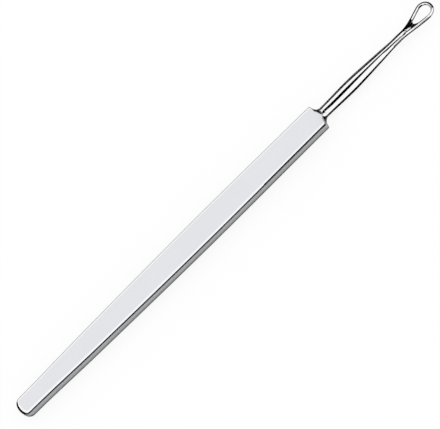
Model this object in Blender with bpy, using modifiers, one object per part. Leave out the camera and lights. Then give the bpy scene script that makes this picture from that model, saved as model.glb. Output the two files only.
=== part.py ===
"""Ear curette: a flat steel handle, a tapering round shank brazed into it, and a teardrop eye of wire at the tip.

Metres, +X from the butt to the eye, +Z up, with the handle's back face on z = 0 and the origin under the middle of
the whole tool.
"""

import math

import bmesh
import bpy
from mathutils import Vector, geometry

# Handle: flat bar, narrow at the butt, widest at the belly
HANDLE_LENGTH = 0.1051  # butt to the corners of the shoulder
HANDLE_THICKNESS = 0.0034
BUTT_WIDTH = 0.00515  # where the rounded end meets the sides
BUTT_CROWN = 0.0020  # how far the rounded end stands out from there
GRIP_WIDTH = 0.0062
GRIP_FROM_BUTT = 0.0250
BELLY_WIDTH = 0.0072
BELLY_FROM_BUTT = 0.0680
SHOULDER_WIDTH = 0.00688
SIDE_EDGE_RADIUS = 0.00042
BUTT_EDGE_RADIUS = 0.0010

# Shoulder: the bar's end, turned down to the shank in one concave sweep
FLARE_LENGTH = 0.0017
SOCKET_CLEARANCE = 0.00015  # round the tang, filled by the braze
SOCKET_END_ROOM = 0.0006  # from the tang's end to the drill's full bore
DRILL_POINT_ANGLE = math.radians(118)

# Shank: round rod
ROOT_DIAMETER = 0.0030
SWELL_DIAMETER = 0.00338
SWELL_FROM_ROOT = 0.0088
TAPER_DIAMETER = 0.0025
TAPER_FROM_ROOT = 0.0191
NECK_DIAMETER = 0.00190
NECK_FROM_ROOT = 0.0250
SHANK_LENGTH = 0.02865  # root to the fork's end
NOSE_LENGTH = 0.0024  # over which the fork's cheeks run out
TANG_DIAMETER = 0.0020
TANG_LENGTH = 0.0110
TANG_CHAMFER = 0.0003

# Fork: the slot across the shank's tip that holds both legs of the wire
FORK_DEPTH = 0.0048
FORK_LIP = 0.00008  # thickness of each cheek at its end

# Eye: wire of one gauge bent to a teardrop
WIRE_DIAMETER = 0.00095
EYE_REACH = 0.0094  # fork's end to the outside of the tip
EYE_WIDTH = 0.00487  # over the wire
EYE_END = 0.0026  # outside of the tip back to the widest place
EYE_SET = 0.00043  # how far the eye's middle stands off the shank's axis
UPPER_LEG_START = 0.0008  # how far inside the fork this leg begins to part
LOWER_LEG_START = 0.0026
LEG_CLEARANCE = 0.00002  # between the legs where they run side by side

# Braze
BRAZE_GAP = 0.00003  # between a braze body and the steel it wets
SEAM_WIDTH = 0.00015  # between the handle's end and the shank's root
WEB_THICKNESS = 0.0006
WEB_HEEL = 0.0014  # how far the web runs back into the fork
WEB_REACH = 0.0036  # fork's end to the tips of the web's arms
WEB_HOLLOW = 0.0007  # depth of the web's concave front edge

# Cutters run past what they cut, and points closer than the weld are one
OVERRUN = 0.0010
WELD = 0.0000002

# Forms and smoothness of the round shapes
BUTT_SQUARENESS = 2.3  # 2 is an ellipse
TURNED_STEPS = 48
BUTT_STEPS = 12
SIDE_STEPS = 10
EDGE_STEPS = 4
FLARE_STEPS = 14
PROFILE_STEPS = 9
NOSE_STEPS = 10
WEB_STEPS = 14
WIRE_STEPS = 14
WIRE_BEVEL = 6
SHARP_ANGLE = math.radians(35)
FLAT_FACE = 0.5  # a face whose normal rises more than this is a top or bottom one

# Bezier handles of the eye as shares: of the round end, then of a leg's run where it leaves and where it arrives
ROUND_END_SHARE = 0.596
UPPER_LEG_SHARES = (0.39, 0.12)
LOWER_LEG_SHARES = (0.30, 0.28)

# Stations along the tool, from the butt
ROOT_X = HANDLE_LENGTH + FLARE_LENGTH + SEAM_WIDTH
FORK_END_X = ROOT_X + SHANK_LENGTH
TIP_X = FORK_END_X + EYE_REACH
SLOT_X = FORK_END_X - FORK_DEPTH
SLOT_HEIGHT = WIRE_DIAMETER + 2 * BRAZE_GAP
SOCKET_DIAMETER = TANG_DIAMETER + 2 * SOCKET_CLEARANCE


def collection(name):
    made = bpy.data.collections.new(name)
    bpy.context.scene.collection.children.link(made)
    return made


def steel(name, colour, roughness):
    material = bpy.data.materials.new(name)
    material.use_nodes = True
    shader = material.node_tree.nodes["Principled BSDF"]
    shader.inputs["Base Color"].default_value = (*colour, 1.0)
    shader.inputs["Metallic"].default_value = 1.0
    shader.inputs["Roughness"].default_value = roughness
    return material


def add_object(name, data, group, parent):
    """A new object whose coordinates run from the butt, along the tool's middle line."""
    made = bpy.data.objects.new(name, data)
    group.objects.link(made)
    made.parent = parent
    return made


def as_cutter(obj):
    obj.hide_render = True
    obj.display_type = "WIRE"
    return obj


def smooth_run(stations, steps):
    """Points of a smooth curve through (along, across) stations, level wherever it turns back or ends."""
    slopes = [(b[1] - a[1]) / (b[0] - a[0]) for a, b in zip(stations, stations[1:])]
    tangents = [0.0]
    for before, after in zip(slopes, slopes[1:]):
        same_way = before * after > 0
        tangents.append(2 * before * after / (before + after) if same_way else 0.0)
    tangents.append(0.0)
    points = []
    for index, ((x0, y0), (x1, y1)) in enumerate(zip(stations, stations[1:])):
        span = x1 - x0
        for step in range(steps):
            t = step / steps
            rise = (3 - 2 * t) * t * t
            start_pull = tangents[index] * span * t * (1 - t) ** 2
            end_pull = tangents[index + 1] * span * t * t * (t - 1)
            points.append((x0 + span * t, y0 + (y1 - y0) * rise + start_pull + end_pull))
    points.append(stations[-1])
    return points


def quarter_ellipse(length, height, steps, power=2.0):
    """(along, across) from (0, 0) out to (length, height), square to the axis at first and level at the end."""
    points = []
    for step in range(steps + 1):
        angle = math.pi / 2 * step / steps
        along = length * (1 - math.cos(angle) ** (2 / power))
        points.append((along, height * math.sin(angle) ** (2 / power)))
    return points


def turned(name, profile, closed, group, parent):
    """A body of revolution about the tool's axis from (along, radius) points that run from the eye's end back."""
    mesh = bpy.data.meshes.new(name)
    vertices = [(radius, 0, along) for along, radius in profile]
    edges = [(i, i + 1) for i in range(len(profile) - 1)]
    if closed:
        edges.append((len(profile) - 1, 0))
    mesh.from_pydata(vertices, edges, [])
    made = add_object(name, mesh, group, parent)
    made.rotation_euler = (0, math.pi / 2, 0)
    screw = made.modifiers.new("Turn", "SCREW")
    screw.axis = "Z"
    screw.steps = TURNED_STEPS
    screw.render_steps = TURNED_STEPS
    screw.use_merge_vertices = True
    screw.merge_threshold = WELD
    screw.use_smooth_shade = True
    return made


def subtract(obj, cutter, name):
    modifier = obj.modifiers.new(name, "BOOLEAN")
    modifier.operation = "DIFFERENCE"
    modifier.solver = "EXACT"
    modifier.object = cutter


def settle(obj, material):
    """Fixes the cuts and rounding in the mesh and shades it smooth, with its real edges kept sharp."""
    bpy.context.view_layer.update()
    graph = bpy.context.evaluated_depsgraph_get()
    mesh = bpy.data.meshes.new_from_object(obj.evaluated_get(graph))
    obj.modifiers.clear()
    obj.data = mesh
    mesh.name = obj.name
    mesh.materials.clear()
    mesh.materials.append(material)
    mesh.shade_smooth()
    mesh.set_sharp_from_angle(angle=SHARP_ANGLE)


def mesh_from_curve(curve_object, group):
    """The curve's evaluated surface as a mesh object with its caps welded on; the curve goes."""
    name = curve_object.name
    bpy.context.view_layer.update()
    graph = bpy.context.evaluated_depsgraph_get()
    mesh = bpy.data.meshes.new_from_object(curve_object.evaluated_get(graph))
    parent = curve_object.parent
    bpy.data.objects.remove(curve_object)
    bm = bmesh.new()
    bm.from_mesh(mesh)
    bmesh.ops.remove_doubles(bm, verts=bm.verts, dist=WELD)
    bmesh.ops.recalc_face_normals(bm, faces=bm.faces)
    bm.to_mesh(mesh)
    bm.free()
    mesh.name = name
    return add_object(name, mesh, group, parent)


def bar_outline():
    """The handle seen from above: (x, y) points round the butt and along both sides to the stock's front end."""
    half_butt = BUTT_WIDTH / 2
    butt = quarter_ellipse(BUTT_CROWN, half_butt, BUTT_STEPS, BUTT_SQUARENESS)
    stations = [
        (BUTT_CROWN, half_butt),
        (GRIP_FROM_BUTT, GRIP_WIDTH / 2),
        (BELLY_FROM_BUTT, BELLY_WIDTH / 2),
        (HANDLE_LENGTH, SHOULDER_WIDTH / 2),
    ]
    stock_corner = (HANDLE_LENGTH + FLARE_LENGTH, SHOULDER_WIDTH / 2)
    upper = butt[:-1] + smooth_run(stations, SIDE_STEPS) + [stock_corner]
    lower = [(x, -y) for x, y in reversed(upper[1:])]
    return upper + lower


def flat_bar(group, parent):
    """The bar before its end is turned, its rim rounded over more at the butt than along the sides."""
    curve = bpy.data.curves.new("handle", "CURVE")
    curve.dimensions = "2D"
    curve.fill_mode = "BOTH"
    curve.extrude = HANDLE_THICKNESS / 2
    outline = bar_outline()
    spline = curve.splines.new("POLY")
    spline.points.add(len(outline) - 1)
    for point, (x, y) in zip(spline.points, outline):
        point.co = (x, y, 0, 1)
    spline.use_cyclic_u = True
    bar = mesh_from_curve(add_object("handle", curve, group, parent), group)
    bm = bmesh.new()
    bm.from_mesh(bar.data)
    inner = [edge for edge in bm.edges if all(abs(face.normal.z) > FLAT_FACE for face in edge.link_faces)]
    bmesh.ops.dissolve_edges(bm, edges=inner)
    weight = bm.edges.layers.float.new("bevel_weight_edge")
    side_share = SIDE_EDGE_RADIUS / BUTT_EDGE_RADIUS
    for edge in bm.edges:
        side = min(edge.link_faces, key=lambda face: abs(face.normal.z))
        on_rim = any(abs(face.normal.z) > FLAT_FACE for face in edge.link_faces)
        sawn_end = min(vertex.co.x for vertex in edge.verts) > HANDLE_LENGTH
        if on_rim and not sawn_end:
            facing_butt = max(0.0, -side.normal.x)
            edge[weight] = side_share + (1 - side_share) * facing_butt
    bm.to_mesh(bar.data)
    bm.free()
    bevel = bar.modifiers.new("Rounded rim", "BEVEL")
    bevel.limit_method = "WEIGHT"
    bevel.width = BUTT_EDGE_RADIUS
    bevel.segments = EDGE_STEPS
    bevel.use_clamp_overlap = False
    return bar


def shoulder_cutter(group, parent):
    """The ring of stock outside the concave sweep from the bar's corners down to the shank."""
    corner = math.hypot(SHOULDER_WIDTH, HANDLE_THICKNESS) / 2
    root = ROOT_DIAMETER / 2
    end = HANDLE_LENGTH + FLARE_LENGTH
    sweep = quarter_ellipse(FLARE_LENGTH, corner - root, FLARE_STEPS)
    profile = [
        (end + OVERRUN, corner + OVERRUN),
        (HANDLE_LENGTH, corner + OVERRUN),
    ]
    profile += [(HANDLE_LENGTH + along, corner - drop) for along, drop in sweep]
    profile.append((end + OVERRUN, root))
    return as_cutter(turned("shoulder_cutter", profile, True, group, parent))


def socket_cutter(group, parent):
    """The blind bore for the tang, with a drill point at its bottom."""
    radius = SOCKET_DIAMETER / 2
    mouth = HANDLE_LENGTH + FLARE_LENGTH + OVERRUN
    floor = ROOT_X - TANG_LENGTH - SOCKET_END_ROOM
    point = radius / math.tan(DRILL_POINT_ANGLE / 2)
    profile = [(mouth, 0), (mouth, radius), (floor, radius), (floor - point, 0)]
    return as_cutter(turned("socket_cutter", profile, False, group, parent))


def make_handle(group, cutters, parent):
    handle = flat_bar(group, parent)
    subtract(handle, shoulder_cutter(cutters, parent), "Turned shoulder")
    subtract(handle, socket_cutter(cutters, parent), "Tang socket")
    settle(handle, steel("satin_steel", (0.72, 0.73, 0.75), 0.35))


def shank_profile():
    """(along, radius) from the fork's end back to the end of the tang."""
    neck = NECK_DIAMETER / 2
    end_radius = SLOT_HEIGHT / 2 + FORK_LIP
    nose_start = SHANK_LENGTH - NOSE_LENGTH
    drop = neck - end_radius
    nose = [(SHANK_LENGTH - along, end_radius + rise) for along, rise in quarter_ellipse(NOSE_LENGTH, drop, NOSE_STEPS)]
    stations = [
        (0, ROOT_DIAMETER / 2),
        (SWELL_FROM_ROOT, SWELL_DIAMETER / 2),
        (TAPER_FROM_ROOT, TAPER_DIAMETER / 2),
        (NECK_FROM_ROOT, neck),
        (nose_start, neck),
    ]
    body = smooth_run(stations, PROFILE_STEPS)
    body.reverse()
    tang = TANG_DIAMETER / 2
    heel = [
        (0, tang),
        (TANG_CHAMFER - TANG_LENGTH, tang),
        (-TANG_LENGTH, tang - TANG_CHAMFER),
        (-TANG_LENGTH, 0),
    ]
    return [(SHANK_LENGTH, 0)] + nose + body[1:] + heel


def slot_cutter(group, parent):
    bpy.ops.mesh.primitive_cube_add(size=1)
    box = bpy.context.object
    for owner in list(box.users_collection):
        owner.objects.unlink(box)
    group.objects.link(box)
    box.name = "slot_cutter"
    box.parent = parent
    length = FORK_DEPTH + OVERRUN
    box.data.transform(((length, 0, 0, 0), (0, NECK_DIAMETER + 2 * OVERRUN, 0, 0), (0, 0, SLOT_HEIGHT, 0), (0, 0, 0, 1)))
    box.location = (SLOT_X + length / 2, 0, 0)
    return as_cutter(box)


def make_shank(group, cutters, parent):
    profile = [(ROOT_X + along, radius) for along, radius in shank_profile()]
    shank = turned("shank", profile, False, group, parent)
    subtract(shank, slot_cutter(cutters, parent), "Fork slot")
    settle(shank, steel("polished_steel", (0.80, 0.81, 0.82), 0.08))


def eye_half(side, leg_start, shares):
    """Bezier points (point, handle back, handle on) of one leg, from its end in the fork to the widest place."""
    radius = WIRE_DIAMETER / 2
    leg = side * (radius + LEG_CLEARANCE / 2)
    leg_end = SLOT_X + BRAZE_GAP
    part = FORK_END_X - leg_start
    widest = TIP_X - EYE_END
    across = EYE_SET + side * (EYE_WIDTH / 2 - radius)
    leave_share, arrive_share = shares
    stub = Vector(((part - leg_end) / 3, 0, 0))
    leave = Vector(((widest - part) * leave_share, 0, 0))
    arrive = Vector(((widest - part) * arrive_share, 0, 0))
    onward = Vector(((EYE_END - radius) * ROUND_END_SHARE, 0, 0))
    return [
        (Vector((leg_end, leg, 0)), stub, stub),
        (Vector((part, leg, 0)), stub, leave),
        (Vector((widest, across, 0)), arrive, onward),
    ]


def eye_points():
    """Bezier points of the wire's centre line, leg end to leg end: (point, handle before, handle after)."""
    upper = eye_half(1, UPPER_LEG_START, UPPER_LEG_SHARES)
    lower = eye_half(-1, LOWER_LEG_START, LOWER_LEG_SHARES)
    crown = Vector((TIP_X - WIRE_DIAMETER / 2, EYE_SET, 0))
    sideways = Vector((0, (EYE_WIDTH - WIRE_DIAMETER) / 2 * ROUND_END_SHARE, 0))
    points = [(at, at - back, at + on) for at, back, on in upper]
    points.append((crown, crown + sideways, crown - sideways))
    points += [(at, at + on, at - back) for at, back, on in reversed(lower)]
    return points


def wire_tube(name, radius, group, parent):
    """The wire as a round tube of the given radius along the eye's centre line."""
    curve = bpy.data.curves.new(name, "CURVE")
    curve.dimensions = "3D"
    curve.bevel_depth = radius
    curve.bevel_resolution = WIRE_BEVEL
    curve.use_fill_caps = True
    curve.twist_mode = "Z_UP"
    spline = curve.splines.new("BEZIER")
    spline.resolution_u = WIRE_STEPS
    points = eye_points()
    spline.bezier_points.add(len(points) - 1)
    for bezier, (at, before, after) in zip(spline.bezier_points, points):
        bezier.co = at
        bezier.handle_left_type = "FREE"
        bezier.handle_right_type = "FREE"
        bezier.handle_left = before
        bezier.handle_right = after
    return mesh_from_curve(add_object(name, curve, group, parent), group)


def make_loop_wire(group, parent):
    settle(wire_tube("loop_wire", WIRE_DIAMETER / 2, group, parent), steel("polished_wire", (0.80, 0.81, 0.82), 0.08))


def make_socket_braze(group, parent):
    """A sleeve round the tang with a flange that fills the seam out to the shank's skin."""
    outer = SOCKET_DIAMETER / 2 - BRAZE_GAP
    inner = TANG_DIAMETER / 2 + BRAZE_GAP
    skin = ROOT_DIAMETER / 2
    front = ROOT_X - BRAZE_GAP
    back = HANDLE_LENGTH + FLARE_LENGTH + BRAZE_GAP
    end = ROOT_X - TANG_LENGTH + TANG_CHAMFER
    profile = [(front, skin), (back, skin), (back, outer), (end, outer), (end, inner), (front, inner)]
    settle(turned("socket_braze", profile, True, group, parent), steel("braze", (0.70, 0.70, 0.68), 0.25))


def leg_line(leg_end, part, widest):
    """Points along one leg's centre line, from its end in the fork to the eye's widest place."""
    start, _, leave = part
    end, arrive, _ = widest
    return [leg_end[0]] + geometry.interpolate_bezier(start, leave, arrive, end, 3 * WIRE_STEPS)


def point_at(line, along):
    for before, after in zip(line, line[1:]):
        if before.x <= along <= after.x:
            return before.lerp(after, (along - before.x) / (after.x - before.x))
    return line[-1]


def web_side(line):
    """The stretch of a leg's centre line that the web lies along."""
    heel = FORK_END_X - WEB_HEEL
    reach = FORK_END_X + WEB_REACH
    between = [point for point in line if heel < point.x < reach]
    return [point_at(line, heel)] + between + [point_at(line, reach)]


def web_outline():
    """The web seen from above: out along one leg's middle, across in a hollow curve, back along the other."""
    points = eye_points()
    upper = web_side(leg_line(points[0], points[1], points[2]))
    flipped = [(at, after, before) for at, before, after in reversed(points[4:])]
    lower = web_side(leg_line(*flipped))
    half = (upper[-1] - lower[-1]) / 2
    middle = (upper[-1] + lower[-1]) / 2
    front = []
    for step in range(1, WEB_STEPS):
        angle = math.pi * step / WEB_STEPS
        hollow = Vector((WEB_HOLLOW * math.sin(angle), 0, 0))
        front.append(middle + half * math.cos(angle) - hollow)
    return upper + front + lower[::-1]


def make_tip_braze(group, cutters, parent):
    curve = bpy.data.curves.new("tip_braze", "CURVE")
    curve.dimensions = "2D"
    curve.fill_mode = "BOTH"
    curve.extrude = WEB_THICKNESS / 2
    outline = web_outline()
    spline = curve.splines.new("POLY")
    spline.points.add(len(outline) - 1)
    for point, at in zip(spline.points, outline):
        point.co = (at.x, at.y, 0, 1)
    spline.use_cyclic_u = True
    web = mesh_from_curve(add_object("tip_braze", curve, group, parent), group)
    bed = as_cutter(wire_tube("wire_bed_cutter", WIRE_DIAMETER / 2 + BRAZE_GAP, cutters, parent))
    subtract(web, bed, "Wire bed")
    settle(web, steel("tip_braze", (0.70, 0.70, 0.68), 0.25))


def main():
    for obj in list(bpy.data.objects):
        bpy.data.objects.remove(obj)
    parts = collection("ear_curette")
    cutters = collection("cutters")
    middle_line = bpy.data.objects.new("tool_axis", None)
    parts.objects.link(middle_line)
    middle_line.location = (-TIP_X / 2, 0, HANDLE_THICKNESS / 2)
    make_handle(parts, cutters, middle_line)
    make_shank(parts, cutters, middle_line)
    make_loop_wire(parts, middle_line)
    make_socket_braze(parts, middle_line)
    make_tip_braze(parts, cutters, middle_line)


main()
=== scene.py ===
import math

import bmesh
import bpy
import numpy as np
from mathutils import Matrix, Vector
from mathutils.kdtree import KDTree


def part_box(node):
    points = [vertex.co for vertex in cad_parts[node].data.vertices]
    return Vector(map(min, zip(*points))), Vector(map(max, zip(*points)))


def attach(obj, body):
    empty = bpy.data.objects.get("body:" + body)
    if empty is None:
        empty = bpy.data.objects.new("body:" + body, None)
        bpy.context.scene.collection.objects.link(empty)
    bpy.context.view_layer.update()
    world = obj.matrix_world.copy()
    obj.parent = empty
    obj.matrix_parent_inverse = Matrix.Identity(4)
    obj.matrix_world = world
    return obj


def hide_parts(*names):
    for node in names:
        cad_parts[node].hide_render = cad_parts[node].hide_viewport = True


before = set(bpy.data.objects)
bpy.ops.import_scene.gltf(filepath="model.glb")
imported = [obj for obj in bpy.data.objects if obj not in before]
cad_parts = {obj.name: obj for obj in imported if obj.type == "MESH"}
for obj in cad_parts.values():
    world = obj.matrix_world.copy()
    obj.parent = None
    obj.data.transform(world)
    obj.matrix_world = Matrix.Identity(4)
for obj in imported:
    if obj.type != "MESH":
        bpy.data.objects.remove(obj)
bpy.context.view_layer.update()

mm = 0.001
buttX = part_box("handle")[0].x / mm  # the tool's own measures run from the butt, in millimetres
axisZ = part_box("handle")[1].z / mm / 2


# Shared helpers

# Millimetres from the butt, along and round the tool's axis, to metres in the frame.
def toWorld(points):
    return (np.asarray(points, float) + (buttX, 0.0, axisZ)) * mm


# The smooth curve through (along, across) stations, level at its ends, read at the given places.
def smoothRun(stations, places):
    at, value = np.array(stations, float).T
    slope = np.diff(value) / np.diff(at)
    sameWay = slope[:-1] * slope[1:] > 0
    total = np.where(sameWay, slope[:-1] + slope[1:], 1.0)
    tangent = np.concatenate(([0.0], np.where(sameWay, 2 * slope[:-1] * slope[1:] / total, 0.0), [0.0]))
    places = np.clip(places, at[0], at[-1])
    cell = np.clip(np.searchsorted(at, places, side="right") - 1, 0, len(at) - 2)
    span = at[cell + 1] - at[cell]
    t = (places - at[cell]) / span
    rise = (3 - 2 * t) * t * t
    pull = tangent[cell] * t * (1 - t) ** 2 + tangent[cell + 1] * t * t * (t - 1)
    return value[cell] + (value[cell + 1] - value[cell]) * rise + pull * span


def newObject(name, data):
    made = bpy.data.objects.new(name, data)
    bpy.context.scene.collection.objects.link(made)
    return made


def meshObject(name, points, faces):
    mesh = bpy.data.meshes.new(name)
    mesh.from_pydata(toWorld(points).tolist(), [], faces)
    mesh.shade_smooth()
    return newObject(name, mesh)


# The object's mesh with its modifiers applied.
def plainMesh(piece):
    bpy.context.view_layer.update()
    graph = bpy.context.evaluated_depsgraph_get()
    return bpy.data.meshes.new_from_object(piece.evaluated_get(graph))


weldReach = {"handle": 0.002, "swept": 0.0001, "web": 0.001}  # mm within which two points become one


# Merges the points that lie together and turns the faces out.
def weld(mesh, reach):
    bm = bmesh.new()
    bm.from_mesh(mesh)
    bmesh.ops.remove_doubles(bm, verts=bm.verts, dist=reach * mm)
    bmesh.ops.recalc_face_normals(bm, faces=bm.faces)
    bm.to_mesh(mesh)
    bm.free()


# Gives the piece its material, and lets it ride in its node's place.
def dress(piece, material, slotName, *nodes):
    piece.data.materials.clear()
    piece.data.materials.append(material)
    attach(piece, "root")
    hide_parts(*nodes)
    print("made", piece.name, len(piece.data.polygons), "faces")


# An sRGB hex colour as linear RGBA.
def linear(hexText):
    parts = [int(hexText[i:i + 2], 16) / 255 for i in (1, 3, 5)]
    return [p / 12.92 if p <= 0.04045 else ((p + 0.055) / 1.055) ** 2.4 for p in parts] + [1.0]


# A node with its settings; an input is a value or another node's output, by name or by number as in in0.
def addNode(tree, kind, settings=None, **inputs):
    made = tree.nodes.new(kind)
    for key, value in (settings or {}).items():
        setattr(made, key, value)
    for key, value in inputs.items():
        numbered = key[:2] == "in" and key[2:].isdigit()
        socket = made.inputs[int(key[2:])] if numbered else made.inputs[key.replace("_", " ")]
        if isinstance(value, bpy.types.NodeSocket):
            tree.links.new(value, socket)
        else:
            socket.default_value = value
    return made


def newMaterial(name):
    material = bpy.data.materials.new(name)
    material.use_nodes = True
    material.node_tree.nodes.clear()
    return material, material.node_tree


# Materials

satinSteel = {
    "colour": "#E6E7EB",
    "shadeColour": "#E1E2E6",
    # painted highlight: the edges' base colour, lighter than the face's so that they shine more
    "paintedHighlightColour": "#FAFAFB",
    "roughness": (0.15, 0.27),  # smoothest and roughest along the polishing lines
    "edgeRoughness": 0.09,
    "faceLevels": (0.9995, 0.992),  # how upright the normal is where the face ends and where the painted highlight and the buffed roughness are full
    "wallLevels": (0.05, 0.3),  # the same where the wall ends
    "grainWidth": 0.16,  # mm between the polishing lines, drawn coarser than real so that they show
    "grainLength": 9.0,
    "grainDepth": 0.0004,
    "cloudSize": 9.0,  # mm across the faint clouds that buffing leaves
}


def makeSatinSteel(values):
    # Stainless bar stock, satined along its length, its edges buffed smoother: an even sheen between edges
    # that carry a painted highlight, a lighter base colour
    material, tree = newMaterial("satinStainlessSteel")
    across = 1 / (values["grainWidth"] * mm)
    along = 1 / (values["grainLength"] * mm)
    cloudScale = 1 / (values["cloudSize"] * mm)
    smoothest, roughest = values["roughness"]
    shade, plain, paintedHighlight = (linear(values[key]) for key in ("shadeColour", "colour", "paintedHighlightColour"))
    place = addNode(tree, "ShaderNodeTexCoord").outputs["Object"]
    stretched = addNode(tree, "ShaderNodeMapping", Vector=place, Scale=(along, across, across)).outputs[0]
    grain = addNode(tree, "ShaderNodeTexNoise", Vector=stretched, Scale=1.0, Detail=3.0, Roughness=0.6)
    lines = grain.outputs["Fac"]
    clouds = addNode(tree, "ShaderNodeTexNoise", Vector=place, Scale=cloudScale, Detail=2.0).outputs["Fac"]
    tint = addNode(tree, "ShaderNodeMix", {"data_type": "RGBA"}, in0=clouds, in6=shade, in7=plain).outputs[2]

    # 1 on the edges, which take the painted highlight and the buffed roughness, 0 on the faces and walls
    normal = addNode(tree, "ShaderNodeNewGeometry").outputs["Normal"]
    facing = addNode(tree, "ShaderNodeSeparateXYZ", Vector=normal).outputs["Z"]
    level = addNode(tree, "ShaderNodeMath", {"operation": "ABSOLUTE"}, in0=facing).outputs[0]
    ends, full = values["faceLevels"]
    offFace = addNode(tree, "ShaderNodeMapRange", Value=level, From_Min=ends, From_Max=full).outputs[0]
    ends, full = values["wallLevels"]
    offWall = addNode(tree, "ShaderNodeMapRange", Value=level, From_Min=ends, From_Max=full).outputs[0]
    edge = addNode(tree, "ShaderNodeMath", {"operation": "MULTIPLY"}, in0=offFace, in1=offWall).outputs[0]

    # painted highlight: the edges take the lighter base colour
    colour = addNode(tree, "ShaderNodeMix", {"data_type": "RGBA"}, in0=edge, in6=tint, in7=paintedHighlight).outputs[2]
    satin = addNode(tree, "ShaderNodeMapRange", Value=lines, To_Min=smoothest, To_Max=roughest).outputs[0]
    rough = addNode(tree, "ShaderNodeMix", in0=edge, in2=satin, in3=values["edgeRoughness"]).outputs[0]
    depth = values["grainDepth"] * mm
    bump = addNode(tree, "ShaderNodeBump", Height=lines, Strength=0.25, Distance=depth).outputs[0]
    looks = {"Base_Color": colour, "Metallic": 1.0, "Roughness": rough, "Normal": bump}
    surface = addNode(tree, "ShaderNodeBsdfPrincipled", **looks).outputs[0]
    addNode(tree, "ShaderNodeOutputMaterial", Surface=surface)
    return material


mirrorSteel = {
    "colour": "#FAFAFA",
    "roughness": (0.03, 0.08),
    "lineWidth": 0.05,  # mm between the last polishing lines round the rod
    "lineStretch": 12,  # how many times as long as wide they are
    "lineDepth": 0.0001,
}


def makeMirrorSteel(values):
    # Stainless rod and wire, mirror polished on a wheel: near white with crisp dark reflections
    material, tree = newMaterial("polishedStainlessSteel")
    fine = 1 / (values["lineWidth"] * mm)
    long = fine / values["lineStretch"]
    smoothest, roughest = values["roughness"]
    place = addNode(tree, "ShaderNodeTexCoord").outputs["Object"]
    stretched = addNode(tree, "ShaderNodeMapping", Vector=place, Scale=(fine, long, long)).outputs[0]
    lines = addNode(tree, "ShaderNodeTexNoise", Vector=stretched, Scale=1.0, Detail=2.0).outputs["Fac"]
    rough = addNode(tree, "ShaderNodeMapRange", Value=lines, To_Min=smoothest, To_Max=roughest).outputs[0]
    depth = values["lineDepth"] * mm
    bump = addNode(tree, "ShaderNodeBump", Height=lines, Strength=0.1, Distance=depth).outputs[0]
    looks = {"Base_Color": linear(values["colour"]), "Metallic": 1.0, "Roughness": rough, "Normal": bump}
    surface = addNode(tree, "ShaderNodeBsdfPrincipled", **looks).outputs[0]
    addNode(tree, "ShaderNodeOutputMaterial", Surface=surface)
    return material


silverBraze = {
    "colour": "#F2F1EF",
    "roughness": (0.06, 0.19),
    "poolSize": 0.35,  # mm across the soft dimples of the set metal
    "poolDepth": 0.004,
}


def makeSilverBraze(values):
    # Silver braze that flowed and was polished with the steel: slightly warm, a little softer than a mirror
    material, tree = newMaterial("silverBraze")
    poolScale = 1 / (values["poolSize"] * mm)
    smoothest, roughest = values["roughness"]
    place = addNode(tree, "ShaderNodeTexCoord").outputs["Object"]
    pools = addNode(tree, "ShaderNodeTexNoise", Vector=place, Scale=poolScale, Detail=2.0).outputs["Fac"]
    rough = addNode(tree, "ShaderNodeMapRange", Value=pools, To_Min=smoothest, To_Max=roughest).outputs[0]
    depth = values["poolDepth"] * mm
    bump = addNode(tree, "ShaderNodeBump", Height=pools, Strength=0.12, Distance=depth).outputs[0]
    looks = {"Base_Color": linear(values["colour"]), "Metallic": 1.0, "Roughness": rough, "Normal": bump}
    surface = addNode(tree, "ShaderNodeBsdfPrincipled", **looks).outputs[0]
    addNode(tree, "ShaderNodeOutputMaterial", Surface=surface)
    return material


# Handle: a flat bar with a rounded butt, its far end turned down to the shank in one concave sweep

handle = {
    "length": 105.1,  # butt to the corners of the shoulder
    "thickness": 3.4,
    "buttWidth": 5.15,
    "buttCrown": 2.0,
    "buttSquareness": 2.3,  # 2 is an ellipse, more is squarer
    "gripWidth": 6.2,
    "gripFromButt": 25.0,
    "bellyWidth": 7.2,
    "bellyFromButt": 68.0,
    "shoulderWidth": 6.88,
    "sideEdge": 0.42,  # radius of the long edges
    "buttEdge": 1.0,
    "easeWidth": 0.55,  # the buffed strip beside each edge, where the face begins to fall
    "easeTilt": 12.0,  # degrees that it has turned at the edge
    "flareLength": 1.7,
    "rootDiameter": 3.0,
    "arrisEase": 0.22,  # how softly the turned shoulder meets the flat faces
    "buttSteps": 48,
    "sideSteps": 120,
    "sideCrowding": 1.3,  # over 1, the side's points crowd towards the butt
    "easeSteps": 4,
    "edgeSteps": 10,
    "wallSteps": 12,
    "faceSteps": 56,
    "flareSteps": 48,
    "flareLead": 0.7,  # how far before the shoulder the fine rings begin
    "leadSteps": 12,
    "leadCrowding": 0.7,  # under 1, the lead's rings crowd towards the shoulder
    "settleRounds": 4,  # how often the rings are drawn to the eased shoulder
    "beyond": 9.0,  # how far the lines that distances are measured to run on past the bar
}


def sideStations(h):
    return [
        (h["buttCrown"], h["buttWidth"] / 2),
        (h["gripFromButt"], h["gripWidth"] / 2),
        (h["bellyFromButt"], h["bellyWidth"] / 2),
        (h["length"], h["shoulderWidth"] / 2),
    ]


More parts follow.
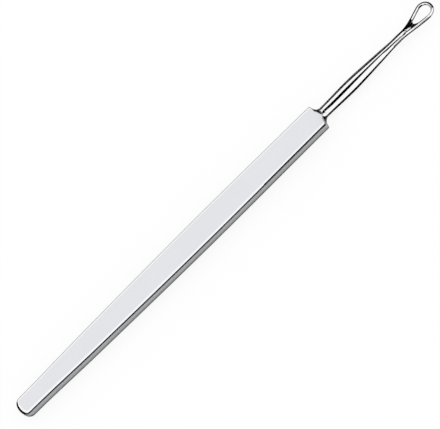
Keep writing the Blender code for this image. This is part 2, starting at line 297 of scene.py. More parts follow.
# Points and outward normals from the front of the +y side back round the butt to the front of the -y side.
def barOutline(h, frontX):
    angle = np.linspace(0, math.pi / 2, h["buttSteps"] + 1)[:-1]
    power = 2 / h["buttSquareness"]
    roundX = h["buttCrown"] * (1 - np.cos(angle) ** power)
    roundY = h["buttWidth"] / 2 * np.sin(angle) ** power
    along = np.linspace(0, 1, h["sideSteps"] + 1) ** h["sideCrowding"]
    sideX = h["buttCrown"] + (frontX - h["buttCrown"]) * along
    sideY = smoothRun(sideStations(h), sideX)
    x = np.concatenate((roundX, sideX))
    y = np.concatenate((roundY, sideY))
    half = np.column_stack((x, y))[::-1]
    line = np.vstack((half, half[-2::-1] * (1, -1)))
    step = np.gradient(line, axis=0)
    normal = np.column_stack((-step[:, 1], step[:, 0]))
    normal[0] = normal[1]
    normal[-1] = normal[-2]
    normal /= np.linalg.norm(normal, axis=1)[:, None]
    if normal[0, 1] < 0:
        normal = -normal
    return line, normal


# From the face over the buffed strip and the edge to the wall: inset, height, and the normal's two parts.
def rimProfile(h, radius):
    tilt = math.radians(h["easeTilt"])
    wide = h["easeWidth"] / math.sin(tilt)
    strip = np.linspace(0, tilt, h["easeSteps"] + 1)[:-1]
    edge = np.linspace(tilt, math.pi / 2, h["edgeSteps"] + 1)
    wallTop = h["thickness"] / 2 - wide * (1 - math.cos(tilt)) - radius * math.cos(tilt)
    stripInset = radius * (1 - math.sin(tilt)) + wide * (math.sin(tilt) - np.sin(strip))
    stripZ = h["thickness"] / 2 - wide * (1 - np.cos(strip))
    inset = np.concatenate((stripInset, radius * (1 - np.sin(edge))))
    z = np.concatenate((stripZ, wallTop + radius * np.cos(edge)))
    turned = np.concatenate((strip, edge))
    flat = np.linspace(wallTop, -wallTop, h["wallSteps"] + 1)[1:-1]
    zeros = np.zeros(len(flat))
    inset = np.concatenate((inset, zeros, inset[::-1]))
    z = np.concatenate((z, flat, -z[::-1]))
    out = np.concatenate((np.sin(turned), zeros + 1, np.sin(turned)[::-1]))
    up = np.concatenate((np.cos(turned), zeros, -np.cos(turned)[::-1]))
    return inset, z, out, up


# The wall's points below one outline point, top to bottom, with their normals.
def rimPoints(h, at, normal):
    facing = max(0.0, -normal[0])
    inset, z, out, up = rimProfile(h, h["sideEdge"] + (h["buttEdge"] - h["sideEdge"]) * facing)
    points = np.column_stack((at[0] - inset * normal[0], at[1] - inset * normal[1], z))
    return points, np.column_stack((normal[0] * out, normal[1] * out, up))


# (along, radius) of the turned sweep, from the stock's corners in to the shank.
def flareSweep(h):
    corner = math.hypot(h["shoulderWidth"], h["thickness"]) / 2
    angle = np.linspace(0, math.pi / 2, h["flareSteps"] + 1)
    along = h["length"] + h["flareLength"] * (1 - np.cos(angle))
    radius = corner - (corner - h["rootDiameter"] / 2) * np.sin(angle)
    return np.column_stack((along, radius))


# The sweep run on at both ends, outside the stock and along the shank, so that distances to it are whole.
def flareProfile(h):
    sweepLine = flareSweep(h)
    outside = sweepLine[0] + (0, h["beyond"])
    onShank = sweepLine[-1] + (h["beyond"], 0)
    return np.vstack((outside, sweepLine, onShank))


# Signed distance of flat places to a smooth line, positive on its left.
def distanceToLine(places, line):
    nearest = np.full(len(places), np.inf)
    for start, end in zip(line[:-1], line[1:]):
        run = end - start
        offset = places - start
        t = np.clip(offset @ run / (run @ run), 0, 1)
        away = np.hypot(*(offset - t[:, None] * run).T)
        side = np.where(run[0] * offset[:, 1] - run[1] * offset[:, 0] >= 0, 1.0, -1.0)
        nearest = np.where(away < np.abs(nearest), away * side, nearest)
    return nearest


# Signed distance to the bar and its turned shoulder, joined with an eased arris.
def shoulderDistance(h, points, profile, rim):
    half = smoothRun(sideStations(h), points[:, 0])
    bar = distanceToLine(np.column_stack((np.abs(points[:, 1]) - half, np.abs(points[:, 2]))), rim)
    turned = distanceToLine(np.column_stack((points[:, 0], np.hypot(points[:, 1], points[:, 2]))), profile)
    ease = h["arrisEase"]
    share = np.clip(0.5 + 0.5 * (bar - turned) / ease, 0, 1)
    return turned + (bar - turned) * share + ease * share * (1 - share)


def gradient(h, points, profile, rim):
    step = 0.004  # mm
    parts = []
    for axis in np.eye(3):
        ahead = shoulderDistance(h, points + axis * step, profile, rim)
        behind = shoulderDistance(h, points - axis * step, profile, rim)
        parts.append((ahead - behind) / (2 * step))
    slope = np.column_stack(parts)
    return slope / np.maximum(np.linalg.norm(slope, axis=1), 1e-9)[:, None]


# One closed ring round the bar at x: wall, bottom face, wall, top face.
def sectionLoop(h, x):
    half = float(smoothRun(sideStations(h), np.array([x]))[0])
    right, _ = rimPoints(h, (x, half), (0.0, 1.0))
    left = (right * (1, -1, 1))[::-1]
    reach = right[0, 1]
    across = np.linspace(reach, -reach, h["faceSteps"] + 1)[1:-1]
    level = np.full(len(across), h["thickness"] / 2)
    bottom = np.column_stack((np.full(len(across), x), across, -level))
    top = np.column_stack((np.full(len(across), x), -across, level))
    return np.vstack((right, bottom, left, top))


# (across, up) of the bar's upper rim, run on inwards and down.
def upperRim(h):
    inset, z, _, _ = rimProfile(h, h["sideEdge"])
    upper = slice(0, h["easeSteps"] + h["edgeSteps"] + 1)
    inner = (-h["beyond"], h["thickness"] / 2)
    return np.vstack((inner, np.column_stack((-inset[upper], z[upper])), (0.0, -h["beyond"])))


# Rings from the bar to the end of the turned shoulder, drawn in to the sweep and eased at the arris.
def shoulderRings(h, frontX):
    profile = flareProfile(h)
    rim = upperRim(h)
    ahead = np.linspace(0, 1, h["leadSteps"] + 1)[:-1] ** h["leadCrowding"]
    rings = [sectionLoop(h, x) for x in frontX + (h["length"] - frontX) * ahead]
    for x, limit in flareSweep(h):
        ring = sectionLoop(h, min(x, h["length"]))
        ring[:, 0] = x
        radius = np.hypot(ring[:, 1], ring[:, 2])
        ring[:, 1:] *= np.minimum(1, limit / radius)[:, None]
        rings.append(ring)
    count = len(rings[0])
    points = np.vstack(rings)
    fixed = points[:, 0] <= frontX + 1e-6
    for _ in range(h["settleRounds"]):
        move = shoulderDistance(h, points, profile, rim)[:, None] * gradient(h, points, profile, rim)
        move[fixed] = 0
        points = points - move
    return points, gradient(h, points, profile, rim), count


def makeHandle(h):
    frontX = h["length"] - h["flareLead"]
    line, outward = barOutline(h, frontX)
    columns = [rimPoints(h, at, normal) for at, normal in zip(line, outward)]
    wall = np.vstack([points for points, _ in columns])
    wallNormals = np.vstack([normals for _, normals in columns])
    rows = len(columns[0][0])
    faces = []  # of the wall, then the shoulder, its end and the two flat faces
    for i in range(len(columns) - 1):
        for k in range(rows - 1):
            a, b = i * rows + k, (i + 1) * rows + k
            faces.append((a, b, b + 1, a + 1))
    rings, ringNormals, count = shoulderRings(h, frontX)
    base = len(wall)
    for j in range(len(rings) // count - 1):
        for k in range(count):
            a = base + j * count + k
            b = base + j * count + (k + 1) % count
            faces.append((a, b, b + count, a + count))
    last = len(rings) - count
    faces.append(tuple(base + last + k for k in reversed(range(count))))
    topFront = [base + k for k in range(count - h["faceSteps"] + 1, count)]
    bottomFront = [base + k for k in range(rows, rows + h["faceSteps"] - 1)]
    topRim = [i * rows for i in range(len(columns))]
    bottomRim = [i * rows + rows - 1 for i in range(len(columns))]
    faces.append(tuple(reversed(topRim + topFront)))
    faces.append(tuple(bottomRim + bottomFront[::-1]))
    points = np.vstack((wall, rings))
    normals = np.vstack((wallNormals, ringNormals))
    piece = meshObject("satinHandle", points, faces)
    weldAndTurnOut(piece, toWorld(points), normals)
    return piece


# Merges the seams, turns the faces out and sets the true normals, found again by place.
def weldAndTurnOut(piece, places, normals):
    weld(piece.data, weldReach["handle"])
    tree = KDTree(len(places))
    for index, place in enumerate(places):
        tree.insert(place, index)
    tree.balance()
    found = [normals[tree.find(vertex.co)[1]] for vertex in piece.data.vertices]
    piece.data.shade_smooth()
    piece.data.normals_split_custom_set_from_vertices([tuple(n) for n in found])


# Shank: a turned rod that swells, thins and ends in the fork

shank = {
    "rootFromButt": 106.95,
    "length": 28.65,
    "rootDiameter": 3.0,
    "swellDiameter": 3.38,
    "swellFromRoot": 8.8,
    "taperDiameter": 2.5,
    "taperFromRoot": 19.1,
    "neckDiameter": 1.90,
    "neckFromRoot": 25.0,
    "noseLength": 2.4,
    "rootChamfer": 0.05,
    "forkDepth": 4.8,
    "forkLip": 0.08,
    "slotHeight": 1.01,
    "sawOverrun": 1.0,  # how far the slot's saw reaches past the tip
    "sawWidth": 4.0,
    "sharpAngle": 40,  # degrees past which the slot's edges stay crisp
    "rings": 150,
    "noseRings": 24,
    "sides": 96,
}

wire = {
    "gauge": 0.95,
    "eyeReach": 9.4,  # fork's end to the outside of the tip
    "eyeWidth": 4.87,
    "eyeEnd": 2.6,  # outside of the tip back to the widest place
    "eyeSet": 0.43,  # how far the eye stands off the shank's axis
    "upperLegStart": 0.8,  # how far inside the fork each leg begins to part
    "lowerLegStart": 2.6,
    "legOffset": 0.485,  # each leg's middle from the axis where they run side by side
    "legClearance": 0.03,  # between the legs' ends and the slot's floor
    "roundShare": 0.596,  # how far the crown's curve is pulled along its ends' directions
    "upperShares": (0.39, 0.12),  # the same for each side's curve, first at its leg, then where it is widest
    "lowerShares": (0.30, 0.28),
    "legPoints": 30,
    "sidePoints": 80,
    "crownPoints": 60,
    "rings": 260,
    "sides": 28,
}


# Geometry Nodes that sweep a circle along a curve. The piece's radius is the curve's own times Thickness.
def pipeTree(name, sideCount):
    tree = bpy.data.node_groups.new(name, "GeometryNodeTree")
    tree.interface.new_socket("Geometry", in_out="INPUT", socket_type="NodeSocketGeometry")
    sides = tree.interface.new_socket("Sides", in_out="INPUT", socket_type="NodeSocketInt")
    sides.default_value = sideCount
    tree.interface.new_socket("Thickness", in_out="INPUT", socket_type="NodeSocketFloat").default_value = 1.0
    tree.interface.new_socket("Finish", in_out="INPUT", socket_type="NodeSocketMaterial")
    tree.interface.new_socket("Geometry", in_out="OUTPUT", socket_type="NodeSocketGeometry")
    given = addNode(tree, "NodeGroupInput")
    count, thick = given.outputs["Sides"], given.outputs["Thickness"]
    circle = {"mode": "RADIUS"}
    ring = addNode(tree, "GeometryNodeCurvePrimitiveCircle", circle, Resolution=count, Radius=thick)
    own = addNode(tree, "GeometryNodeInputRadius").outputs[0]
    rail, section = given.outputs["Geometry"], ring.outputs["Curve"]
    swept = addNode(tree, "GeometryNodeCurveToMesh", in0=rail, in1=section, Scale=own, Fill_Caps=True)
    smooth = addNode(tree, "GeometryNodeSetShadeSmooth", in0=swept.outputs[0])
    solid = addNode(tree, "GeometryNodeRealizeInstances", in0=smooth.outputs[0])
    finish = given.outputs["Finish"]
    finished = addNode(tree, "GeometryNodeSetMaterial", in0=solid.outputs[0], Material=finish)
    addNode(tree, "NodeGroupOutput", in0=finished.outputs[0])
    return tree


# A plain mesh swept along the points by the tree; the curve it starts from goes.
def sweep(name, points, radii, tree, material):
    curve = bpy.data.curves.new(name + "Path", "CURVE")
    curve.dimensions = "3D"
    curve.twist_mode = "Z_UP"
    spline = curve.splines.new("POLY")
    spline.points.add(len(points) - 1)
    for point, place, radius in zip(spline.points, toWorld(points), radii):
        point.co = (*place, 1)
        point.radius = radius
    guide = newObject(name + "Path", curve)
    modifier = guide.modifiers.new("Sweep", "NODES")
    modifier.node_group = tree
    wanted = {"Thickness": 1.0, "Finish": material}
    for item in tree.interface.items_tree:
        if item.in_out == "INPUT" and item.name in wanted:
            modifier[item.identifier] = wanted[item.name]
    mesh = plainMesh(guide)
    bpy.data.objects.remove(guide)
    weld(mesh, weldReach["swept"])
    return newObject(name, mesh)


# The rod's radius at places along it from its root.
def shankRadius(s, along):
    neck = s["neckDiameter"] / 2
    noseStart = s["length"] - s["noseLength"]
    stations = [
        (0, s["rootDiameter"] / 2),
        (s["swellFromRoot"], s["swellDiameter"] / 2),
        (s["taperFromRoot"], s["taperDiameter"] / 2),
        (s["neckFromRoot"], neck),
        (noseStart, neck),
    ]
    radius = smoothRun(stations, along)
    tip = s["slotHeight"] / 2 + s["forkLip"]
    past = np.clip((along - noseStart) / s["noseLength"], 0, 1)
    nose = tip + (neck - tip) * np.sqrt(1 - past ** 2)
    return np.where(along > noseStart, nose, radius)


def makeShank(s, tree, material):
    body = np.linspace(0, s["length"] - s["noseLength"], s["rings"])
    turn = np.linspace(0, math.pi / 2, s["noseRings"] + 1)[1:]
    nose = s["length"] - s["noseLength"] + s["noseLength"] * np.sin(turn)
    chamfer = s["rootChamfer"]
    along = np.concatenate(([0, chamfer], body[body > 2 * chamfer], nose))
    radius = shankRadius(s, along)
    radius[0] -= chamfer
    points = np.column_stack((s["rootFromButt"] + along, np.zeros((len(along), 2))))
    piece = sweep("polishedShank", points, radius * mm, tree, material)
    cutSlot(piece, s)
    return piece


# Saws the fork's slot across the nose.
def cutSlot(piece, s):
    bpy.ops.mesh.primitive_cube_add(size=1)
    saw = bpy.context.object
    length = s["forkDepth"] + s["sawOverrun"]
    middle = s["rootFromButt"] + s["length"] - s["forkDepth"] + length / 2
    size = Matrix.Diagonal((length * mm, s["sawWidth"] * mm, s["slotHeight"] * mm, 1))
    saw.data.transform(Matrix.Translation(Vector(toWorld([(middle, 0, 0)])[0])) @ size)
    cut = piece.modifiers.new("Slot", "BOOLEAN")
    cut.operation = "DIFFERENCE"
    cut.solver = "EXACT"
    cut.object = saw
    mesh = plainMesh(piece)
    piece.modifiers.clear()
    piece.data = mesh
    mesh.shade_smooth()
    mesh.set_sharp_from_angle(angle=math.radians(s["sharpAngle"]))
    bpy.data.objects.remove(saw)


# Wire loop: one gauge of wire bent to a teardrop, both legs side by side in the fork

def bezierRun(a, b, c, d, count):
    t = np.linspace(0, 1, count)[:, None]
    a, b, c, d = (np.array(p, float) for p in (a, b, c, d))
    return (1 - t) ** 3 * a + 3 * (1 - t) ** 2 * t * b + 3 * (1 - t) * t * t * c + t ** 3 * d


# Centre-line points of one leg, from its end in the fork round to the tip of the eye.
def eyeHalf(w, s, side):
    forkEnd = s["rootFromButt"] + s["length"]
    which = "upper" if side > 0 else "lower"
    start, shares = w[which + "LegStart"], w[which + "Shares"]
    radius = w["gauge"] / 2
    legEnd = forkEnd - s["forkDepth"] + w["legClearance"]
    part = forkEnd - start
    tip = forkEnd + w["eyeReach"] - radius
    widest = forkEnd + w["eyeReach"] - w["eyeEnd"]
    across = w["eyeWidth"] / 2 - radius
    leg = side * w["legOffset"]
    wide = w["eyeSet"] + side * across
    run = widest - part
    share = w["roundShare"]
    straight = [(x, leg) for x in np.linspace(legEnd, part, w["legPoints"])]
    spread = bezierRun(
        (part, leg),
        (part + run * shares[0], leg),
        (widest - run * shares[1], wide),
        (widest, wide),
        w["sidePoints"],
    )
    crown = bezierRun(
        (widest, wide),
        (widest + (tip - widest) * share, wide),
        (tip, w["eyeSet"] + side * across * share),
        (tip, w["eyeSet"]),
        w["crownPoints"],
    )
    return np.vstack((straight, spread[1:], crown[1:]))


def evenSpacing(line, count):
    step = np.concatenate(([0], np.cumsum(np.linalg.norm(np.diff(line, axis=0), axis=1))))
    places = np.linspace(0, step[-1], count)
    return np.column_stack([np.interp(places, step, column) for column in line.T])


# The wire's middle from the upper leg's end round the eye to the lower leg's end.
def wireLine(w, s):
    upper, lower = eyeHalf(w, s, 1), eyeHalf(w, s, -1)
    return evenSpacing(np.vstack((upper, lower[-2::-1])), w["rings"])


def makeLoop(w, s, tree, material):
    line = wireLine(w, s)
    points = np.column_stack((line, np.zeros(len(line))))
    return sweep("loopWire", points, np.full(len(points), w["gauge"] / 2 * mm), tree, material)


# Braze: the web in the crotch of the eye and the thin seam at the shoulder

web = {
    "heel": 1.4,  # how far it runs back into the fork
    "reach": 3.6,  # fork's end to the tips of its arms
    "hollow": 0.9,  # depth of its concave front edge
    "lowerReach": 1.6,  # how much further it runs along the lower leg
    "middleThickness": 0.50,
    "edgeThickness": 0.66,  # where it wets the wire
    "roundedShare": 0.06,  # of its length, rounded off at the front edge
    "sharpAngle": 50,
    "followedPoints": 100,  # of each leg's line, which end just before the eye is widest
    "alongSteps": 60,
    "acrossSteps": 24,
}


# Rows of points over the web's upper side, from its heel in the fork to its hollow front edge.
def webTop(b, w, s):
    forkEnd = s["rootFromButt"] + s["length"]
    heel = forkEnd - b["heel"]
    upper, lower = (eyeHalf(w, s, side)[:b["followedPoints"]] for side in (1, -1))
    rows = []
    for share in np.linspace(0, 1, b["alongSteps"] + 1):
        row = []
        for place in np.linspace(-1, 1, b["acrossSteps"] + 1):
            arm = b["lowerReach"] * max(0, -place) ** 2
            front = forkEnd + b["reach"] - b["hollow"] * (1 - place ** 2) + arm
            x = heel + (front - heel) * share
            high = np.interp(x, *upper.T)
            low = np.interp(x, *lower.T)
            y = (high + low) / 2 + (high - low) / 2 * place
            half = b["middleThickness"] / 2 + (b["edgeThickness"] - b["middleThickness"]) / 2 * place ** 2
            rounded = max(0.0, (share - 1) / b["roundedShare"] + 1)
            half *= math.sqrt(max(0.0, 1 - rounded ** 2))
            row.append((x, y, half))
        rows.append(row)
    return rows


def makeWeb(b, w, s):
    top = np.array(webTop(b, w, s))
    rows, columns = top.shape[:2]
    upperSide = top.reshape(-1, 3)
    lowerSide = upperSide * (1, 1, -1)
    faces = []  # of the two skins, then of the rim that joins them
    count = rows * columns
    for i in range(rows - 1):
        for j in range(columns - 1):
            a, c = i * columns + j, (i + 1) * columns + j
            faces.append((a, a + 1, c + 1, c))
            faces.append((count + a, count + c, count + c + 1, count + a + 1))
    rim = list(range(columns))
    rim += [i * columns + columns - 1 for i in range(1, rows)]
    rim += [(rows - 1) * columns + j for j in range(columns - 2, -1, -1)]
    rim += [i * columns for i in range(rows - 2, 0, -1)]
    for a, c in zip(rim, rim[1:] + rim[:1]):
        faces.append((a, count + a, count + c, c))
    piece = meshObject("brazeWeb", np.vstack((upperSide, lowerSide)), faces)
    weld(piece.data, weldReach["web"])
    piece.data.set_sharp_from_angle(angle=math.radians(b["sharpAngle"]))
    return piece


# It shows between the handle's end at 106.80 and the shank's root at 106.95; the rest of it is inside them
seam = {
    "from": 106.60,
    "to": 107.15,
    "radius": 1.485,
    "rings": 9,
}


def makeSeam(r, tree, material):
    points = [(x, 0, 0) for x in np.linspace(r["from"], r["to"], r["rings"])]
    return sweep("brazeSeam", points, np.full(r["rings"], r["radius"] * mm), tree, material)


# Stage: a pale floor, soft light all round, and dark cards that only reflections see. The cards are cut and
# placed for the photograph's view alone: in other views their images slide, and the exported part has none.

stage = {
    "floorSize": 3.0,  # metres
    "floorDrop": 0.0004,  # metres below the tool, so that the two don't fight
    "floorColour": "#FFFFFF",
    "floorGlow": 0.85,  # share of plain white that the camera sees in the floor besides its lit colour
    "skyLight": 1.0,
}

photoCamera = {
    "tiltFromFace": 26.7,  # degrees that the view leans from the handle's face, towards -y
    "turn": 44.69,  # degrees that the tool is turned in the picture
    "scale": 3.993,  # picture pixels for one millimetre
    "middle": (226.8, 208.48),  # where the tool's middle falls in the picture
    "picture": (440, 429),
    "lens": 200.0,
    "sensor": 36.0,
    "clip": (0.01, 10),
}


# 1 for rays of the named kinds and 0 for the rest.
def seenBy(tree, *rays):
    path = addNode(tree, "ShaderNodeLightPath")
    value = path.outputs[rays[0]]
    for ray in rays[1:]:
        either = addNode(tree, "ShaderNodeMath", {"operation": "MAXIMUM"}, in0=value, in1=path.outputs[ray])
        value = either.outputs[0]
    return value


def sheetOf(name, corners, material):
    mesh = bpy.data.meshes.new(name)
    mesh.from_pydata(corners, [], [tuple(range(len(corners)))])
    made = newObject(name, mesh)
    made.data.materials.append(material)
    return made


def makeFloor(values):
    material, tree = newMaterial("paleFloor")
    lit = addNode(tree, "ShaderNodeBsdfDiffuse", Color=linear(values["floorColour"]))
    white = addNode(tree, "ShaderNodeEmission", Color=(1, 1, 1, 1), Strength=1.0)
    seen = seenBy(tree, "Is Camera Ray", "Is Glossy Ray", "Is Transmission Ray")
    share = addNode(tree, "ShaderNodeMath", {"operation": "MULTIPLY"}, in0=seen, in1=values["floorGlow"])
    shaders = {"in1": lit.outputs[0], "in2": white.outputs[0]}
    mixed = addNode(tree, "ShaderNodeMixShader", in0=share.outputs[0], **shaders)
    addNode(tree, "ShaderNodeOutputMaterial", Surface=mixed.outputs[0])
    reach, level = values["floorSize"] / 2, -values["floorDrop"]
    corners = [(x * reach, y * reach, level) for x, y in ((-1, -1), (1, -1), (1, 1), (-1, 1))]
    return sheetOf("floor", corners, material)


# Where the cards hang: height over the floor, colour, and corners along x and y, in the frame's millimetres.
# Each note says what the card's image darkens in the photograph's view.
cards = {
    "middleLine": (12, "#050505", [  # the line along the shank's middle
        (33.8, -3.8), (34.6, -5.0), (35.4, -6.1), (36.2, -7.6), (37.2, -9.0), (38.6, -8.4),
        (40.6, -8.0), (46, -6.2), (52, -4.6), (57, -4.0), (58.8, -8), (60.8, -10), (61.3, -8),
        (61.35, -4.6), (60.6, -2.0), (59.4, -0.6), (57.5, 0.8), (54, 1.6), (50, 1.3), (46, 1.2),
        (41, 1.1), (38, 1.1), (36.5, 1.5), (35, 2.2), (33.8, 2.6),
    ]),
    "farSide": (12, "#050505", [  # the line along the shank's far side
        (34, 15), (44, 14), (48, 11.5), (52, 9), (56, 7), (60, 6), (63.4, 5.5), (64.3, 7.2),
        (67.5, 7.4), (69, 8), (69, 300), (34, 300),
    ]),
    "farTip": (12, "#8C8C8C", [  # the same round the eye, paler
        (69, 5.4), (71.5, 4.6), (73.5, 3.5), (80, 1), (92, 1), (300, 10), (300, 300), (69, 300),
    ]),
    "crotchTent": (2.5, "#050505", [  # the dark of the braze web, low over it
        (62.9, 0.35), (64.1, 0.27), (64.7, 0.12), (65.5, -0.02), (65.9, -0.15), (66.15, -0.42),
        (66.7, -0.35), (66.6, 0.05), (66.5, 0.4), (66.3, 0.8), (66.2, 1.7), (65.2, 1.6),
        (64.2, 1.25), (62.9, 1.05),
    ]),
    "noseTent": (2.9, "#050505", [  # the dark of the fork's nose
        (62.55, 0.25), (62.9, 0.2), (63.3, 0.35), (63.6, 0.5), (64.2, 0.55), (64.9, 0.6),
        (65.2, 2.5), (62.6, 2.0),
    ]),
    "legLine": (12, "#101010", [  # a hint of a line along the eye's lower leg
        (64.4, -7.0), (66.4, -5.6), (67.8, -5.0), (70.3, -7.0), (71.0, -13), (67.0, -12.5),
        (66.4, -9.3), (64.6, -8.6),
    ]),
    "shoulderTop": (4.6, "#050505", [  # the far part of the shoulder and the shank's root
        (32.62, 2.15), (32.85, 1.55), (33.0, 1.2), (34.3, 1.2), (34.35, 2.1), (34.7, 2.65),
        (35.3, 2.75), (36.6, 3.7), (36.7, 4.8), (35.6, 5.0), (34.2, 4.4), (33.3, 3.2), (33.0, 2.7),
    ]),
    "flareDark": (3.8, "#080808", [  # the shoulder's sweep beside the seam
        (32.62, 1.95), (32.8, 1.5), (32.93, 1.15), (33.0, 0.8), (33.03, 0.55), (34.18, 0.55),
        (34.18, 1.3), (34.3, 1.5), (34.35, 2.0), (33.6, 2.1),
    ]),
    "flareGrey": (3.8, "#484848", [  # the same, lower and paler
        (33.03, 0.55), (33.08, 0.1), (33.2, -0.3), (33.4, -0.5), (34.18, -0.5), (34.18, 0.55),
    ]),
    "shoulderCorner": (4.6, "#050505", [  # the near part of the shoulder
        (32.75, -1.5), (33.2, -1.9), (34.2, -1.2), (34.5, -1.4), (34.5, -6), (33.0, -5.2),
        (32.3, -4.4), (32.28, -3.2), (32.5, -2.6), (32.7, -2.2),
    ]),
    "shoulderFloor": (0, "#707070", [  # on the floor, for the shoulder's lower side
        (32.85, -5.2), (33.6, -5.2), (36.6, -3.4), (36.6, -0.6), (33.5, -0.6), (33.3, -3.0),
        (32.85, -3.9),
    ]),
    "shankFloor": (0, "#050505", [  # on the floor, for the underside of the shank and the eye
        (34.5, -8), (46, -8), (58, -8), (62, -8), (64, 0), (72, 4), (90, 2), (300, 0), (300, 300),
        (34.5, 300),
    ]),
}

# Strips beside the bar's outline, from one share of it to another, out from its side and up, in millimetres.
# The share runs from the front of the -y side, round the butt at a half, to the front of the +y side.
barStrips = {
    "footStrip": ((0, 1), (-0.8, 0), (0.44, 0), "#303030"),
    "buttFoot": ((0.37, 0.5), (0.44, 0.02), (0.66, 0.02), "#404040"),
    "lowStrip": ((0, 1), (0.44, 0), (0.85, 0), "#949494"),
    "sideStrip": ((0, 1), (0.85, 0), (1.5, 0), "#C4C4C4"),
    "frontDark": ((0, 0.06), (1.6, 0), (1.6, 8.5), "#060606"),
    "sideDark": ((0.06, 0.385), (1.6, 0), (1.6, 5.4), "#060606"),
    "cornerDark": ((0.385, 0.44), (1.6, 0), (1.6, 5.0), "#484848"),
    "buttDark": ((0.44, 0.605), (1.6, 0), (1.6, 5.4), "#060606"),
    "farStrip": ((0.605, 1), (1.6, 0), (1.6, 4.0), "#808080"),
    "farGlow": ((0.605, 1), (1.6, 4.0), (1.6, 5.6), "#ECECEC"),
}

# The same beside the wire's middle, from the upper leg's end round the eye to the lower leg's end.
# A negative distance stands inside the eye.
wireStrips = {
    "crotchWall": ((0.705, 0.82), (0.11, 2.25), (0.11, 9.0), "#050505"),
    "neckLine": ((0.835, 0.90), (0.11, 2.25), (0.11, 2.95), "#202020"),
    "neckRoot": ((0.90, 0.96), (0.11, 2.45), (0.11, 3.45), "#202020"),
    "eyeOutside": ((0.072, 0.235), (1.3, 0), (1.3, 5.4), "#060606"),
    "eyeSide": ((0.235, 0.32), (1.3, 0), (1.3, 9.0), "#060606"),
    "eyeCrown": ((0.32, 0.41), (1.3, 0), (1.3, 3.5), "#060606"),
    "eyeTip": ((0.41, 0.53), (1.3, 0), (1.3, 4.8), "#060606"),
    "eyeRight": ((0.53, 0.60), (1.3, 0), (1.3, 2.6), "#A0A0A0"),
    "lowerLeg": ((0.60, 0.999), (1.3, 0), (1.3, 2.7), "#101010"),
    "eyeInside": ((0.23, 0.387), (-1.0, 0), (-1.0, 2.5), "#606060"),
    "eyeSpot": ((0.387, 0.42), (-1.0, 0), (-1.0, 3.4), "#101010"),
    "crownInside": ((0.42, 0.45), (-1.0, 0), (-1.0, 2.4), "#808080"),
    "tipInside": ((0.45, 0.63), (-1.0, 0), (-1.0, 4.0), "#B6B6B6"),
    "legInside": ((0.63, 0.66), (-1.0, 0), (-1.0, 2.4), "#606060"),
    "legEdge": ((0.66, 0.762), (-1.0, 0), (-1.0, 3.0), "#101010"),
    "legFloor": ((0.60, 0.999), (-0.3, 0.02), (1.3, 0.02), "#101010"),
}


def cardMaterial(hexText):
    name = "card" + hexText[1:]
    material = bpy.data.materials.get(name)
    if material is None:
        material, tree = newMaterial(name)
        plain = addNode(tree, "ShaderNodeEmission", Color=linear(hexText), Strength=1.0)
        addNode(tree, "ShaderNodeOutputMaterial", Surface=plain.outputs[0])
    return material


def hideCard(card):
    for ray in ("camera", "diffuse", "transmission", "volume_scatter", "shadow"):
        setattr(card, "visible_" + ray, False)


def makeCards(values):
    for name, (height, hexText, corners) in cards.items():
        level = height * mm - (values["floorDrop"] / 2 if height == 0 else 0)
        hideCard(sheetOf(name, [(x * mm, y * mm, level) for x, y in corners], cardMaterial(hexText)))
    line, outward = barOutline(handle, handle["length"])
    makeStrips(barStrips, line[::-1], outward[::-1], values)
    line = wireLine(wire, shank)
    step = np.gradient(line, axis=0)
    outward = np.column_stack((-step[:, 1], step[:, 0])) / np.linalg.norm(step, axis=1)[:, None]
    makeStrips(wireStrips, line, outward, values)


def makeStrips(strips, line, outward, values):
    low = axisZ + values["floorDrop"] / 2 / mm  # from the tool's axis down to just above the floor
    for name, (shares, near, far, hexText) in strips.items():
        part = slice(int(len(line) * shares[0]), int(len(line) * shares[1]) + 1)
        count = len(line[part])
        corners = []
        for at, out in zip(line[part], outward[part]):
            for away, height in (near, far):
                corners.append((*(at + out * away), height - low))
        faces = [(2 * i, 2 * i + 1, 2 * i + 3, 2 * i + 2) for i in range(count - 1)]
        strip = meshObject(name, corners, faces)
        strip.data.materials.append(cardMaterial(hexText))
        hideCard(strip)


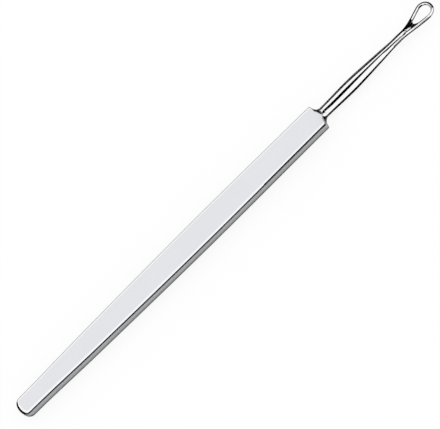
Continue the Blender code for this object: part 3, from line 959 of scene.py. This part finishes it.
def makeWorld(values):
    world = bpy.data.worlds.new("studio")
    bpy.context.scene.world = world
    world.use_nodes = True
    tree = world.node_tree
    tree.nodes.clear()
    seen = seenBy(tree, "Is Camera Ray", "Is Glossy Ray", "Is Transmission Ray")
    strength = addNode(tree, "ShaderNodeMapRange", Value=seen, To_Min=values["skyLight"], To_Max=1.0)
    light = addNode(tree, "ShaderNodeBackground", Color=(1, 1, 1, 1), Strength=strength.outputs[0])
    addNode(tree, "ShaderNodeOutputWorld", Surface=light.outputs[0])


def makeCamera(values):
    tilt, turn = math.radians(values["tiltFromFace"]), math.radians(values["turn"])
    back = Vector((0, -math.sin(tilt), math.cos(tilt)))
    along = Vector((1, 0, 0))
    across = back.cross(along)
    right = math.cos(turn) * along - math.sin(turn) * across
    up = math.sin(turn) * along + math.cos(turn) * across
    width, height = values["picture"]
    cx, cy = values["middle"]
    perPixel = mm / values["scale"]
    centre = Vector((0, 0, axisZ * mm))
    aim = centre + (width / 2 - cx) * perPixel * right - (height / 2 - cy) * perPixel * up
    distance = width * values["lens"] / values["sensor"] * perPixel
    data = bpy.data.cameras.new("photoCamera")
    data.lens = values["lens"]
    data.sensor_width = values["sensor"]
    data.clip_start, data.clip_end = values["clip"]
    camera = newObject("photoCamera", data)
    turned = Matrix((right, up, back)).transposed().to_4x4()
    camera.matrix_world = Matrix.Translation(aim + back * distance) @ turned
    bpy.context.scene.camera = camera


makeCamera(photoCamera)
makeWorld(stage)
makeFloor(stage)
makeCards(stage)
bpy.context.scene.view_settings.view_transform = "Standard"
print("stage set")

steelSatin = makeSatinSteel(satinSteel)
steelMirror = makeMirrorSteel(mirrorSteel)
braze = makeSilverBraze(silverBraze)
rodTree = pipeTree("turnedRod", shank["sides"])
wireTree = pipeTree("drawnWire", wire["sides"])
dress(makeHandle(handle), steelSatin, "handle_steel", "handle")
dress(makeShank(shank, rodTree, steelMirror), steelMirror, "polished_steel", "shank")
dress(makeLoop(wire, shank, wireTree, steelMirror), steelMirror, "polished_steel", "loop_wire")
dress(makeWeb(web, wire, shank), braze, "silver_braze", "tip_braze")
dress(makeSeam(seam, rodTree, braze), braze, "silver_braze", "socket_braze")
